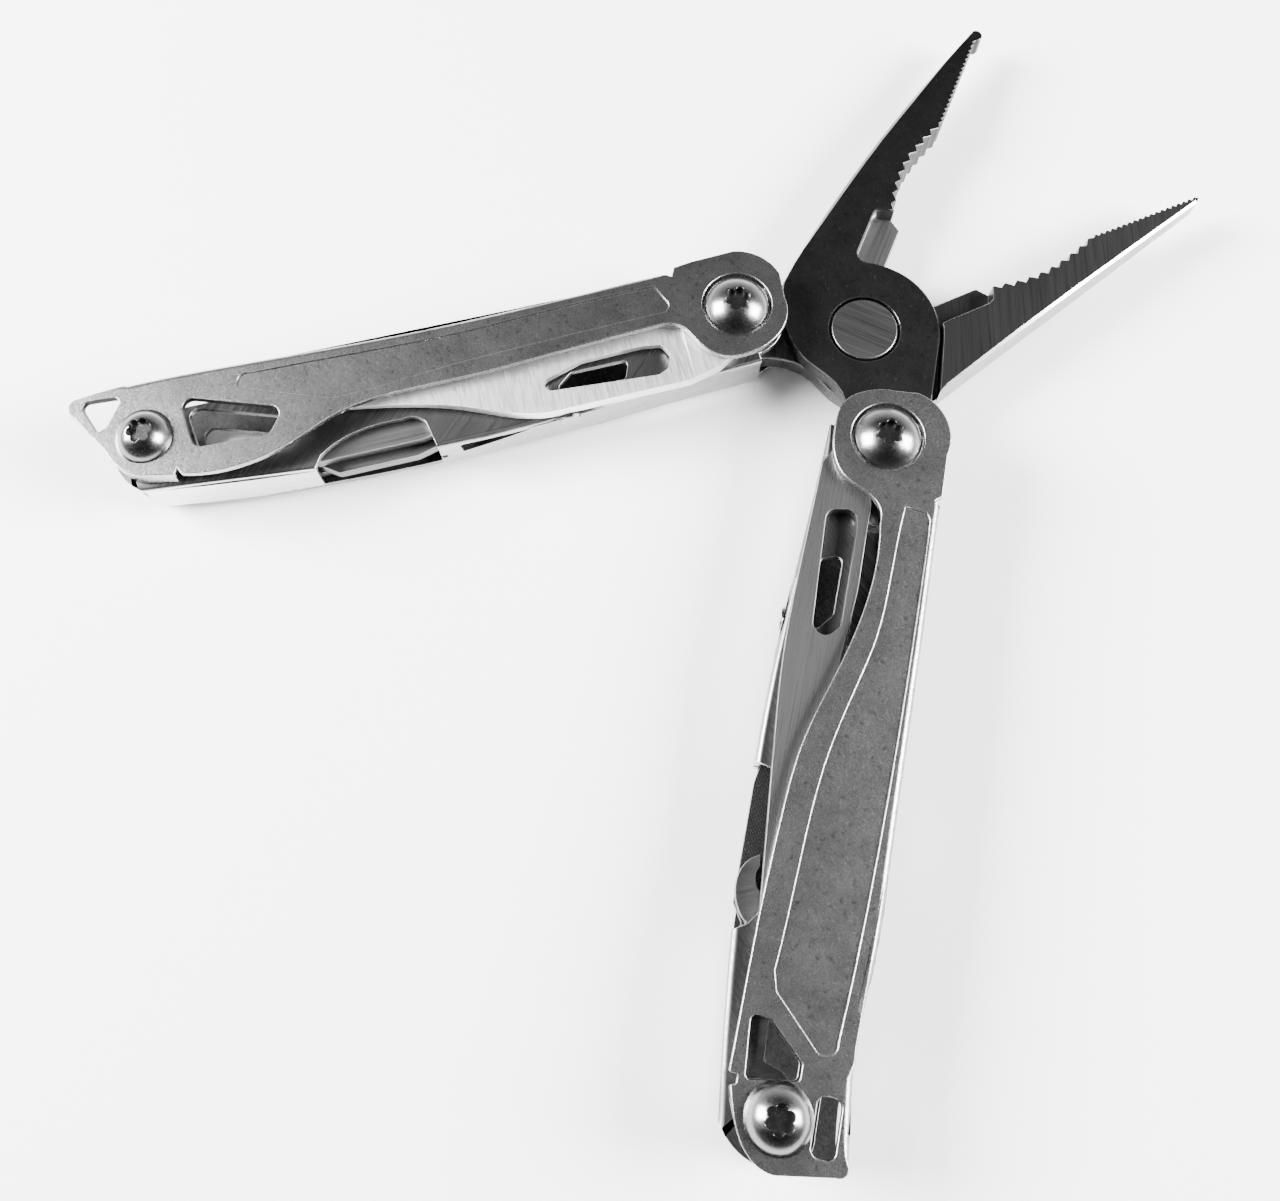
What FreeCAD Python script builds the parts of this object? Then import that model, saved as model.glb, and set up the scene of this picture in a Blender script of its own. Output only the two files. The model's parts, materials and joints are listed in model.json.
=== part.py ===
"""Folding multi tool: spring plier head, knife handle, saw handle and six inner tools.

Millimetres, +Z up. The tool lies flat on its back with the plier bisector along +Y, and the origin is
under the middle of its box. Every handle piece is drawn in its own handle's frame: x runs from the plier
end pin to the far end pin, and n is positive towards the open palm side. Jaws are drawn in their own
frame: x runs along the bite line, and the second number is positive towards the jaw's outer side.
"""
import FreeCAD
import Part
import Sketcher
import math
import os

doc = FreeCAD.newDocument("multi_tool")

SIZES = {
    # lay-out of the pins, degrees and millimetres
    "origin_x": 0.17,
    "origin_y": -18.714,
    "half_open": 22.4,
    "arm_length": 17.9,
    "arm_turn": 152.8,
    "rear_trim": 1.0,
    "knife_turn": 238.9,
    "saw_turn": 303.2,
    "pin_spacing": 82.0,
    # levels above the surface the tool lies on
    "back_plate_low": 1.4,
    "back_plate_thick": 1.0,
    "web_low": 2.4,
    "liner_low": 8.8,
    "liner_thick": 1.0,
    "blade_low": 10.0,
    "blade_thick": 2.0,
    "front_plate_low": 12.2,
    "front_plate_thick": 1.2,
    "front_plate_top": 13.4,
    "flange_low": 9.0,
    "flange_high": 12.2,
    "far_lip_low": 10.1,
    "panel_depth": 0.25,
    "dish_depth": 0.7,
    "pivot_dome_top": 15.5,
    "tool_dome_top": 16.1,
    # plier head
    "head_low": 2.6,
    "head_split": 5.6,
    "head_gap": 0.04,
    "head_high": 8.6,
    "jaw_half_thick": 2.98,
    "eye_radius": 5.5,
    "head_radius": 10.3,
    "rivet_radius": 3.2,
    "rivet_head_radius": 4.55,
    "rivet_recess_radius": 4.85,
    "rivet_head_thick": 1.2,
    "spring_ring_radius": 5.4,
    "spring_wire_radius": 0.5,
    "spring_room_in": 4.5,
    "spring_room_out": 6.4,
    "spring_room_depth": 1.5,
    # posts, screws and washers
    "post_radius": 2.5,
    "post_hole_radius": 2.52,
    "pivot_hole_radius": 2.55,
    "screw_radius": 1.45,
    "screw_hole_radius": 1.5,
    "pivot_dome_radius": 4.25,
    "tool_dome_radius": 3.9,
    "dish_radius": 4.75,
    "foot_radius": 3.7,
    "foot_flat_radius": 2.4,
    "washer_radius": 3.6,
    "blade_washer_thick": 0.16,
    "tool_washer_thick": 0.1,
    "torx_radius": 1.75,
    "torx_depth": 1.3,
    # inner tools
    "tool_thick": 1.8,
    "tool_low_1": 2.6,
    "tool_low_2": 4.6,
    "tool_low_3": 6.6,
    "tool_hub_radius": 4.6,
}

sheet = doc.addObject("Spreadsheet::Sheet", "sizes")
for row, (alias, number) in enumerate(SIZES.items(), start=1):
    sheet.set(f"A{row}", alias)
    sheet.set(f"B{row}", str(number))
    sheet.setAlias(f"B{row}", alias)
doc.recompute()

KNIFE = -1  # the knife handle's palm side is to the right of its direction
SAW = 1  # the saw handle's palm side is to the left of its direction
FRONT = 1  # the front jaw's outer side is to the left of its bite line
REAR = -1
pieces = []


def size(alias):
    return float(sheet.get(alias))


# ---------------------------------------------------------------- sketch and feature helpers


def new_body(label):
    body = doc.addObject("PartDesign::Body", label)
    body.Label = label
    body.AllowCompound = True
    pieces.append(body)
    return body


def new_sketch(body, level=None, role="XY_Plane"):
    """A sketch on one of the body's own planes, raised to a level given as a sheet expression."""
    sketch = body.newObject("Sketcher::SketchObject", "Sketch")
    plane = next(f for f in body.Origin.OriginFeatures if f.Role == role)
    sketch.AttachmentSupport = [(plane, "")]
    sketch.MapMode = "FlatFace"
    if level:
        sketch.setExpression("AttachmentOffset.Base.z", level)
    return sketch


def draw(sketch, start, steps, side=1):
    """A closed outline. A step (x, y) is a line, (xm, ym, x, y) an arc, and a list a smooth curve."""
    here = FreeCAD.Vector(start[0], side * start[1], 0)
    first = here
    for step in list(steps) + [start]:
        if isinstance(step, list):
            points = [here] + [FreeCAD.Vector(x, side * y, 0) for x, y in step]
            curve = Part.BSplineCurve()
            curve.interpolate(points)
            sketch.addGeometry(curve, False)
            here = points[-1]
            continue
        end = FreeCAD.Vector(step[-2], side * step[-1], 0)
        if end.distanceToPoint(here) < 1e-6:
            continue
        if len(step) == 4:
            middle = FreeCAD.Vector(step[0], side * step[1], 0)
            sketch.addGeometry(Part.Arc(here, middle, end), False)
        else:
            sketch.addGeometry(Part.LineSegment(here, end), False)
        here = end
    assert here.distanceToPoint(first) < 1e-6


def circle(sketch, x, y, radius):
    """A circle whose radius is a constraint bound to the sheet."""
    index = sketch.addGeometry(Part.Circle(FreeCAD.Vector(x, y, 0), FreeCAD.Vector(0, 0, 1), 1.0), False)
    number = sketch.addConstraint(Sketcher.Constraint("Radius", index, 1.0))
    sketch.setExpression(f"Constraints[{number}]", radius)


def rounded(corners, radius):
    """The start and steps of a polygon whose corners are all rounded to one radius."""
    count = len(corners)
    steps = []
    for i in range(count):
        before = FreeCAD.Vector(*corners[i - 1], 0)
        here = FreeCAD.Vector(*corners[i], 0)
        after = FreeCAD.Vector(*corners[(i + 1) % count], 0)
        to_before = (before - here).normalize()
        to_after = (after - here).normalize()
        half = to_before.getAngle(to_after) / 2
        inward = (to_before + to_after).normalize()
        centre = here + inward * (radius / math.sin(half))
        back = here + to_before * (radius / math.tan(half))
        on = here + to_after * (radius / math.tan(half))
        middle = centre - inward * radius
        steps.append((back.x, back.y))
        steps.append((middle.x, middle.y, on.x, on.y))
    return steps[0], steps[1:]


def pad(body, sketch, thickness):
    feature = body.newObject("PartDesign::Pad", "Pad")
    feature.Profile = sketch
    feature.setExpression("Length", thickness)
    return feature


def pocket(body, sketch, depth=None, reverse=False):
    """A cut below the sketch, or through everything both ways when no depth is given."""
    feature = body.newObject("PartDesign::Pocket", "Pocket")
    feature.Profile = sketch
    feature.Reversed = reverse
    if depth:
        feature.setExpression("Length", depth)
    else:
        feature.Type = "ThroughAll"
        feature.Midplane = True
    return feature


def plate(label, level, thickness, outline, side, holes=()):
    """A flat piece: its outline padded up from a level, with round holes."""
    body = new_body(label)
    sketch = new_sketch(body, level)
    draw(sketch, *outline, side=side)
    for x, y, radius in holes:
        circle(sketch, x, y * side, radius)
    pad(body, sketch, thickness)
    return body


def cut(body, level, outline, depth=None, side=1):
    sketch = new_sketch(body, level)
    draw(sketch, *outline, side=side)
    return pocket(body, sketch, depth)


def cut_round(body, level, x, y, radius, depth=None):
    sketch = new_sketch(body, level)
    circle(sketch, x, y, radius)
    return pocket(body, sketch, depth)


def bevel_level(body, height, length):
    """Chamfer the edges of the body's last feature that lie at one height."""
    doc.recompute()
    base = body.Tip
    names = []
    for number, edge in enumerate(base.Shape.Edges, start=1):
        box = edge.BoundBox
        if abs(box.ZMin - height) < 1e-4 and abs(box.ZMax - height) < 1e-4:
            names.append(f"Edge{number}")
    chamfer = body.newObject("PartDesign::Chamfer", "Chamfer")
    chamfer.Base = (base, names)
    chamfer.Size = length
    doc.recompute()
    if not chamfer.Shape.isValid() or chamfer.State and "Invalid" in chamfer.State:
        raise RuntimeError(f"{body.Label}: the bevel at {height} failed")
    return chamfer


def place(body, x, y, turn):
    """Put a body's frame at a place and a turn, both given as sheet expressions."""
    body.Placement = FreeCAD.Placement(FreeCAD.Vector(), FreeCAD.Rotation(FreeCAD.Vector(0, 0, 1), 10))
    body.setExpression("Placement.Base.x", f"{x} - sizes.origin_x")
    body.setExpression("Placement.Base.y", f"{y} - sizes.origin_y")
    body.setExpression("Placement.Rotation.Angle", turn)


def place_on_handle(body, side):
    """The handle frame starts at the pin in the end of that handle's jaw arm."""
    reach = "sizes.arm_length"
    if side == KNIFE:
        arm = "(90 - sizes.half_open + sizes.arm_turn)"
        place(body, f"{reach} * cos({arm})", f"{reach} * sin({arm})", "sizes.knife_turn")
    else:
        arm = "(90 + sizes.half_open - sizes.arm_turn)"
        place(body, f"{reach} * cos({arm})", f"{reach} * sin({arm})", "sizes.saw_turn")


def place_on_head(body, jaw):
    turn = "90 + sizes.half_open" if jaw == FRONT else "90 - sizes.half_open + sizes.rear_trim"
    place(body, "0", "0", turn)


# ---------------------------------------------------------------- plier head


BITE = 0.12  # half the gap between the closed jaws
BITE_SHIFT = 0.6  # the bite line passes this far from the rivet, on the front jaw's side
FINE_TEETH = 19
FINE_PITCH = 0.9
FINE_START = 35.6
TIP = {FRONT: 54.3, REAR: 52.7}  # where the tip's end meets the nose's outer side
COARSE_TEETH = 9
COARSE_START = 19.3
COARSE_END = 35.2


def hollow(part):
    """How far the pipe grip is hollowed out, at a part of its length."""
    return 2.3 * math.sin(math.pi * (0.2 + 0.78 * part))


def teeth():
    """The coarse teeth of the pipe grip, then the fine teeth up to the tip."""
    points = []
    pitch = (COARSE_END - COARSE_START) / COARSE_TEETH
    for i in range(COARSE_TEETH):
        valley = (i + 0.5) / COARSE_TEETH
        peak = (i + 1.0) / COARSE_TEETH
        points.append((COARSE_START + pitch * (i + 0.55), 0.85 + hollow(valley)))
        points.append((COARSE_START + pitch * (i + 1), 0.15 + hollow(peak)))
    for i in range(FINE_TEETH):
        points.append((FINE_START + FINE_PITCH * (i + 0.5), BITE + 0.42))
        points.append((FINE_START + FINE_PITCH * (i + 1), BITE))
    return points


def shifted(steps, which):
    """The same steps moved from the rivet's centre line to the bite line."""
    shift = BITE_SHIFT * which
    moved = []
    for step in steps:
        moved.append(tuple(value + shift if i % 2 else value for i, value in enumerate(step)))
    return moved


def nose_steps(which):
    """The long tapered nose, from the first coarse tooth round the tip to the back of its outer side."""
    tip = (TIP[which] + 0.25, 0.5, TIP[which], 1.1)
    inner = shifted([(COARSE_START, 1.7), *teeth(), tip], which)
    if which == FRONT:
        outer = [(36.0, 6.8), (18.0, 10.7), (6.0, 12.6)]
    else:
        outer = [(36.0, 4.6), (18.0, 9.1), (6.0, 12.2)]
    return [*inner, outer]


def arm_angle(which):
    """The angle from a jaw's bite line to its arm, in degrees."""
    return size("arm_turn") if which == FRONT else size("arm_turn") - size("rear_trim")


def eye_centre(which):
    turn = math.radians(arm_angle(which))
    return size("arm_length") * math.cos(turn), -size("arm_length") * math.sin(turn)


def arm_steps(which):
    """From the nose's outer corner, round the shoulder, the waist and the eye, to the head's circle."""
    x, y = eye_centre(which)
    eye = size("eye_radius")
    head = size("head_radius")
    # the arm's outer side is the line that touches both the eye and the head
    lean = math.acos((head - eye) / size("arm_length"))
    normal = math.radians(360 - arm_angle(which)) + lean
    across = (math.cos(normal), math.sin(normal))
    return [
        (2.6, 12.9),
        [(-1.3, 11.7), (-5.3, 9.0), (-7.8, 5.0), (-9.0, 1.4), (-11.8, -1.6), (x, y + eye)],
        (x - eye, y, x + eye * across[0], y + eye * across[1]),
        (head * across[0], head * across[1]),
        (head * math.cos(-0.6), head * math.sin(-0.6), head * math.cos(-0.1), head * math.sin(-0.1)),
    ]


def wire_notch():
    """The open notch over the cutter in the front jaw's half of the joint."""
    return [
        (10.32, 0.3, 10.0, 2.5),
        (10.25, 3.8, 11.3, 4.35),
        (17.6, 4.35),
        (18.5, 4.1, 18.9, 3.3),
    ]


def cutter_edge():
    """The cutter in the lower half of both jaws."""
    return [(10.45, BITE + 0.1), (18.2, BITE), (18.8, 1.0)]


def joint_side():
    """The back of the nose in the other jaw's half: a clearance arc about the rivet, then a flat."""
    room = size("head_radius") + 0.5
    return [
        (4.9, 12.75),
        (room * math.cos(0.54), room * math.sin(0.54)),
    ]


def add_jaw_half(body, level, thickness, start, steps, side):
    sketch = new_sketch(body, level)
    draw(sketch, start, steps, side)
    pad(body, sketch, thickness)


def taper_nose(body):
    """The nose gets thinner towards its tip, equally from above and below."""
    far = 60.0
    for outside, at_root, at_tip in ((14.0, "head_high", -1.5), (-4.0, "head_low", 1.5)):
        root = size(at_root)
        sketch = new_sketch(body, role="XZ_Plane")
        draw(sketch, (30.0, root), [(far, root + at_tip), (far, outside), (30.0, outside)])
        pocket(body, sketch)


def jaw(label, which):
    """One jaw: its own half of the lap joint with the arm, then its nose and eye in the other half."""
    body = new_body(label)
    own = "sizes.head_split + sizes.head_gap / 2" if which == FRONT else "sizes.head_low"
    other = "sizes.head_low" if which == FRONT else "sizes.head_split - sizes.head_gap / 2"
    other_thick = "sizes.jaw_half_thick + sizes.head_gap"
    head = size("head_radius")
    room = head + 0.5
    start = (head * math.cos(-0.1), head * math.sin(-0.1))
    throat = shifted(wire_notch() if which == FRONT else cutter_edge(), which)
    steps = throat + nose_steps(which) + arm_steps(which)
    add_jaw_half(body, own, "sizes.jaw_half_thick", start, steps, which)
    if which == FRONT:
        inner = [(18.2, BITE), (18.8, 1.0)]
        start = (room, BITE + BITE_SHIFT)
    else:
        inner = [(17.3, 3.9), (18.1, 3.7, 18.6, 3.1)]
        start = (room * math.cos(0.32), room * math.sin(0.32))
    middle = 0.29 if which == FRONT else 0.43
    close = [(room * math.cos(middle), room * math.sin(middle), *start)]
    steps = shifted(inner, which) + nose_steps(which) + joint_side() + close
    add_jaw_half(body, other, other_thick, start, steps, which)
    x, y = eye_centre(which)
    sketch = new_sketch(body, other)
    circle(sketch, x, y * which, "sizes.eye_radius")
    pad(body, sketch, other_thick)
    taper_nose(body)
    cut_round(body, None, x, y * which, "sizes.pivot_hole_radius")
    cut_round(body, None, 0, 0, "sizes.rivet_radius + 0.05")
    return body


def front_jaw():
    body = jaw("front_jaw", FRONT)
    cut_round(body, "sizes.head_high", 0, 0, "sizes.rivet_recess_radius", "sizes.rivet_head_thick")
    # blind hole for the spring's upturned end
    sketch = new_sketch(body, "sizes.head_split")
    circle(sketch, -size("spring_ring_radius"), 0, "sizes.spring_wire_radius + 0.1")
    pocket(body, sketch, "1.4", reverse=True)
    place_on_head(body, FRONT)


def rear_jaw():
    body = jaw("rear_jaw", REAR)
    sketch = new_sketch(body, "sizes.head_low")
    circle(sketch, 0, 0, "sizes.rivet_recess_radius")
    pocket(body, sketch, "sizes.rivet_head_thick", reverse=True)
    sketch = new_sketch(body, "sizes.head_low + sizes.jaw_half_thick")
    circle(sketch, 0, 0, "sizes.spring_room_in")
    circle(sketch, 0, 0, "sizes.spring_room_out")
    pocket(body, sketch, "sizes.spring_room_depth")
    place_on_head(body, REAR)


def pivot_rivet():
    """A flush rivet with a disc head at each end."""
    body = new_body("pivot_rivet")
    for level, radius, length in (
        ("sizes.head_low", "sizes.rivet_head_radius", "sizes.rivet_head_thick - 0.05"),
        ("sizes.head_low", "sizes.rivet_radius", "sizes.head_high - sizes.head_low"),
        (
            "sizes.head_high - sizes.rivet_head_thick + 0.05",
            "sizes.rivet_head_radius",
            "sizes.rivet_head_thick - 0.05",
        ),
    ):
        sketch = new_sketch(body, level)
        circle(sketch, 0, 0, radius)
        pad(body, sketch, length)
    bevel_level(body, size("head_high"), 0.15)
    place_on_head(body, FRONT)


def plier_spring():
    """An open ring of round wire in the lap joint, with one end turned up into the front jaw."""
    ring = size("spring_ring_radius")
    wire = size("spring_wire_radius")
    height = size("head_low") + size("jaw_half_thick") - 0.75
    gap = math.radians(28)
    leg = FreeCAD.Vector(-ring, 0, height)
    top = FreeCAD.Vector(-ring, 0, size("head_split") + 1.2)
    far = FreeCAD.Vector(ring, 0, height)
    end = FreeCAD.Vector(ring * math.cos(math.pi - gap), -ring * math.sin(math.pi - gap), height)
    path = Part.Wire([Part.Arc(leg, FreeCAD.Vector(0, ring, height), far).toShape()])
    lower = Part.Arc(far, FreeCAD.Vector(0, -ring, height), end).toShape()
    path = Part.Wire([*path.Edges, lower])
    section = Part.Wire([Part.Circle(leg, FreeCAD.Vector(0, 1, 0), wire).toShape()])
    coil = path.makePipeShell([section], True, True)
    post = Part.makeCylinder(wire, top.z - leg.z, leg)
    knuckle = Part.makeSphere(wire, leg)
    spring = doc.addObject("Part::Feature", "plier_spring")
    spring.Label = "plier_spring"
    spring.Shape = coil.fuse([post, knuckle]).removeSplitter()
    place_on_head(spring, FRONT)
    pieces.append(spring)


# ---------------------------------------------------------------- handles

FAR = size("pin_spacing")
EDGE = 8.1  # widest reach of the palm side


def knife_plate_outline():
    """Front side plate of the knife handle: lobe, long S-curved cut-away, pointed nose."""
    return (8.6, 7.0), [
        (7.6, 6.4),
        (7.0, 7.6),
        (4.4, 7.9),
        (-1.6, EDGE),
        (-5.0, 6.4, -6.9, 3.2),
        (-6.6, -0.4),
        [(-5.5, -4.5), (-2.6, -6.7), (0.6, -7.4), (3.6, -7.0), (6.4, -4.4), (7.9, -1.6), (10.4, -0.4)],
        [(25.0, -1.0), (39.0, -1.6), (51.0, -1.8), (57.0, -3.0), (62.9, -5.5), (70.0, -7.1), (77.8, -6.4)],
        (78.2, -5.4),
        (78.6, -6.4),
        (82.6, -5.6),
        (85.6, -3.9, 87.3, -1.1),
        (91.1, 4.8),
        (91.7, 6.8, 90.2, 7.6),
        [(84.0, EDGE), (73.4, 8.0), (54.0, 7.1), (37.4, 6.7), (20.0, 6.9), (8.6, 7.0)],
    ]


def saw_plate_outline():
    """Front side plate of the saw handle: squarer lobe and far end."""
    return (8.2, 7.9), [
        (7.4, 7.2),
        (6.7, 8.0),
        (1.0, 7.9),
        (-4.9, 6.5, -7.0, 3.0),
        (-6.7, 0.0),
        [(-6.0, -3.6), (-3.9, -6.3), (0.0, -7.0), (3.7, -6.5), (6.3, -4.9), (8.8, -0.5), (12.0, 0.7)],
        [(18.0, 1.0), (24.0, 0.3), (32.0, -1.7), (41.2, -4.3), (50.0, -5.3), (62.0, -5.9), (78.6, -6.2)],
        (78.7, -5.2),
        (79.6, -5.2),
        (79.9, -5.8),
        [(83.6, -4.6), (86.6, -2.4), (87.6, 0.4)],
        (86.3, 7.0),
        (85.8, 8.1, 84.6, EDGE),
        [(79.0, 7.6), (73.5, 7.2), (65.7, 7.8), (50.0, EDGE), (30.0, EDGE), (8.2, 7.9)],
    ]


def back_plate_outline(side):
    """Back side plate: the same nose as the front one, but no cut-away over the tools."""
    nose = knife_plate_outline()[1][-5:-1] if side == KNIFE else saw_plate_outline()[1][-5:-1]
    last = [(73.4, 7.9), (50.0, 7.3), (20.0, 7.0), (4.0, 7.2)]
    tail = [(84.0, EDGE)] if side == KNIFE else [(79.0, 7.6)]
    return (4.0, 7.2), [
        (-1.6, 7.2),
        (-6.0, 4.6, -6.6, 0.0),
        (-5.0, -4.5, -1.0, -6.4),
        [(8.0, -5.6), (16.0, -5.3), (31.0, -7.4), (44.0, -8.5), (61.0, -8.1), (73.0, -7.4), (82.6, -5.6)],
        *nose,
        tail + last,
    ]


def web_curve(offset):
    """Points along the inner side of a handle, where the sheet of the channel bends down."""
    points = ((14.0, -8.3), (30.0, -9.2), (46.0, -9.3), (64.0, -8.4), (84.0, -6.2))
    return [(x, n + offset) for x, n in points]


def flange_outline(side):
    """The rolled lip that hangs from the front plate along the palm side."""
    if side == KNIFE:
        outer = [(20.0, 6.9), (37.4, 6.7), (54.0, 7.1), (70.0, 7.85)]
        inner = [(x, n - 1.0) for x, n in reversed(outer[:-1])]
        return (12.0, 6.97), [outer, (70.0, 6.85), [*inner, (12.0, 5.97)]]
    outer = [(30.0, EDGE), (50.0, EDGE), (65.7, 7.8)]
    return (12.0, 8.0), [outer, (65.7, 6.8), [(x, n - 1.0) for x, n in reversed(outer[:-1])] + [(12.0, 7.0)]]


def far_lip_outline(side):
    """The lip folded down round the far end of the front plate."""
    if side == KNIFE:
        return (78.8, -6.3), [
            (82.6, -5.6),
            (85.6, -3.9, 87.3, -1.1),
            (90.8, 4.3),
            (90.0, 4.8),
            (86.4, -0.7),
            (84.9, -3.1, 82.3, -4.7),
            (78.8, -5.4),
        ]
    return (80.1, -5.77), [
        [(83.6, -4.6), (86.6, -2.4), (87.6, 0.4)],
        (86.7, 4.7),
        (85.8, 4.5),
        (86.6, 0.5),
        [(85.8, -1.8), (83.1, -3.7), (80.1, -4.7)],
    ]


def panel_outline(side):
    """The long panel pressed into the front plate."""
    if side == KNIFE:
        return (68.6, 4.2), [
            (68.4, 5.5, 66.9, 5.8),
            [(57.8, 5.5), (37.7, 4.9), (24.5, 5.3), (13.2, 5.4)],
            (10.4, 5.4),
            (9.3, 3.0),
            (9.3, 1.7, 10.6, 1.3),
            [(21.6, 1.1), (33.0, 0.8), (44.2, 0.2), (52.0, -0.4), (56.5, -0.4)],
            (63.6, 2.2),
        ]
    return (9.4, 6.4), [
        (9.1, 3.6),
        [(20.0, 3.1), (27.0, 2.5), (32.2, 1.3), (43.4, -1.2), (50.0, -1.9), (58.8, -2.4), (67.2, -3.0)],
        (69.3, -2.4),
        (74.3, 2.9),
        (74.4, 4.6, 73.0, 5.1),
        [(64.0, 5.8), (51.6, 6.4), (36.7, 6.8), (25.0, 6.9), (13.0, 6.9)],
        (10.2, 6.8),
    ]


def far_windows(side):
    """The two openings at the far end of a handle: a window and the lanyard hole or slot."""
    if side == KNIFE:
        window = rounded([(76.8, 4.6), (63.0, -0.2), (65.4, -3.6), (75.6, -3.2)], 1.3)
        lanyard = rounded([(90.2, 6.9), (84.2, 6.5), (87.8, 1.2)], 0.8)
    else:
        window = rounded([(72.2, -4.8), (79.0, -4.3), (77.9, 1.6), (76.0, 1.6), (72.4, -2.4)], 0.6)
        lanyard = rounded([(78.6, 3.9), (84.9, 3.9), (84.9, 6.6), (78.6, 6.6)], 1.0)
    return window, lanyard


def handle_name(side):
    return "knife_handle" if side == KNIFE else "saw_handle"


def front_plate(side):
    outline = knife_plate_outline() if side == KNIFE else saw_plate_outline()
    holes = [(0, 0, "sizes.screw_hole_radius"), (FAR, 0, "sizes.screw_hole_radius")]
    name = handle_name(side) + "_front_plate"
    body = plate(name, "sizes.front_plate_low", "sizes.front_plate_thick", outline, side, holes)
    for opening in far_windows(side):
        cut(body, None, opening, side=side)
    sketch = new_sketch(body, "sizes.flange_low")
    draw(sketch, *flange_outline(side), side=side)
    pad(body, sketch, "sizes.flange_high - sizes.flange_low")
    sketch = new_sketch(body, "sizes.far_lip_low")
    draw(sketch, *far_lip_outline(side), side=side)
    pad(body, sketch, "sizes.flange_high - sizes.far_lip_low")
    cut(body, "sizes.front_plate_top", panel_outline(side), "sizes.panel_depth", side)
    dish = cut_round(body, "sizes.front_plate_top", 0, 0, "sizes.dish_radius", "sizes.dish_depth")
    dish.TaperAngle = -20
    place_on_handle(body, side)


def back_plate(side):
    holes = [(0, 0, "sizes.post_hole_radius"), (FAR, 0, "sizes.post_hole_radius")]
    name = handle_name(side) + "_back_plate"
    outline = back_plate_outline(side)
    body = plate(name, "sizes.back_plate_low", "sizes.back_plate_thick", outline, side, holes)
    if side == KNIFE:
        for opening in far_windows(side):
            cut(body, None, opening, side=side)
    place_on_handle(body, side)


def channel(side):
    """The liner under the blade and the web that bends down along the inner side, one sheet."""
    body = new_body(handle_name(side) + "_channel")
    gap_end = 60.7 if side == KNIFE else 63.8
    outer = web_curve(0.0)
    inner = web_curve(0.9)
    sketch = new_sketch(body, "sizes.liner_low")
    start = (-1.7, -7.5)
    outline = [
        [*outer[:2], (44.0, -9.35)],
        (44.9, -5.4),
        (46.0, -4.4, 48.0, -4.2),
        [(52.0, -4.2), (gap_end - 4.0, -5.2), (gap_end - 1.0, -6.9)],
        (gap_end, outer[3][1] - 0.1),
        [outer[4]] if side == KNIFE else [(72.0, -7.7), outer[4]],
        (86.8, -3.0, 87.4, 0.0),
        (86.2, 3.6, 83.0, 4.6),
        (10.0, 4.6),
        (3.0, 5.6),
        (-4.0, 5.0, -6.2, 0.0),
        (-5.0, -4.6, -1.7, -6.3),
    ]
    draw(sketch, start, outline, side)
    for x in (0, FAR):
        circle(sketch, x, 0, "sizes.post_hole_radius")
    pad(body, sketch, "sizes.liner_thick")
    sketch = new_sketch(body, "sizes.web_low")
    wall = [web_curve(0.12), (84.0, inner[-1][1]), [*reversed(inner[:-1]), (-1.7, -6.6)]]
    draw(sketch, (-1.7, -7.38), wall, side)
    pad(body, sketch, "sizes.liner_low - sizes.web_low")
    cut_web(body, gap_end)
    web_pad(body, side)
    cut(body, None, rounded([(16.0, -2.9), (17.0, -5.6), (27.5, -5.6), (24.0, -2.9)], 0.7), side=side)
    cut(body, None, lock_bar_slot(), side=side)
    for opening in far_windows(side)[:1]:
        cut(body, None, opening, side=side)
    place_on_handle(body, side)


def web_pad(body, side):
    """The round pad that stands a little proud of the web, beside the blade's root."""
    sketch = new_sketch(body, str(9.35 * side), role="XZ_Plane")
    circle(sketch, 25.5, 8.2, "1.5")
    pad(body, sketch, "0.6").Reversed = side == SAW


def lock_bar_slot():
    """The long slit that frees the blade lock's bar from the liner."""
    end = (50.6, -0.9, 50.0, -0.6)
    return (27.0, -1.2), [(50.0, -1.2), end, (12.0, -0.6), (12.0, 3.2), (11.2, 3.2), (11.2, -1.2)]


def cut_web(body, gap_end):
    """Openings through the web: the gap over the tools, the spring bar's taper and its keyhole."""
    low = size("web_low") - 1
    high = size("liner_low")
    bottom = [(74.0, 2.2), (60.0, 3.1), (44.0, 3.3), (15.0, 3.1), (-6.0, 2.8)]
    openings = [
        ((-6.0, low), [(74.0, low), *bottom]),
        ((44.0, low), [(gap_end, low), (gap_end, high), (44.0, high)]),
        ((40.8, 5.7), [(41.0, 8.0), (40.6, 8.2), (31.3, 8.1), (31.3, 7.9)]),
        ((43.1, 4.8), [(43.1, 5.7), (44.5, 5.7), (44.5, 4.8)]),
    ]
    for start, steps in openings:
        sketch = new_sketch(body, role="XZ_Plane")
        draw(sketch, start, steps)
        pocket(body, sketch)


def turned(label, profile):
    """A turned piece about its own vertical axis, from its profile of radius and height."""
    body = new_body(label)
    sketch = new_sketch(body, role="XZ_Plane")
    draw(sketch, *profile)
    turn = body.newObject("PartDesign::Revolution", "Revolution")
    turn.Profile = sketch
    turn.ReferenceAxis = (sketch, ["V_Axis"])
    turn.Angle = 360
    return body


def post_profile():
    foot = size("foot_radius")
    flat = size("foot_flat_radius")
    low = size("back_plate_low")
    radius = size("post_radius")
    top = size("front_plate_low")
    bore = size("screw_hole_radius")
    floor = 2.0
    return (0.0, 0.0), [
        (flat, 0.0),
        (foot - 0.3, 0.45, foot, low),
        (radius, low),
        (radius, top),
        (bore, top),
        (bore, floor),
        (0.0, floor),
    ]


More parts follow.
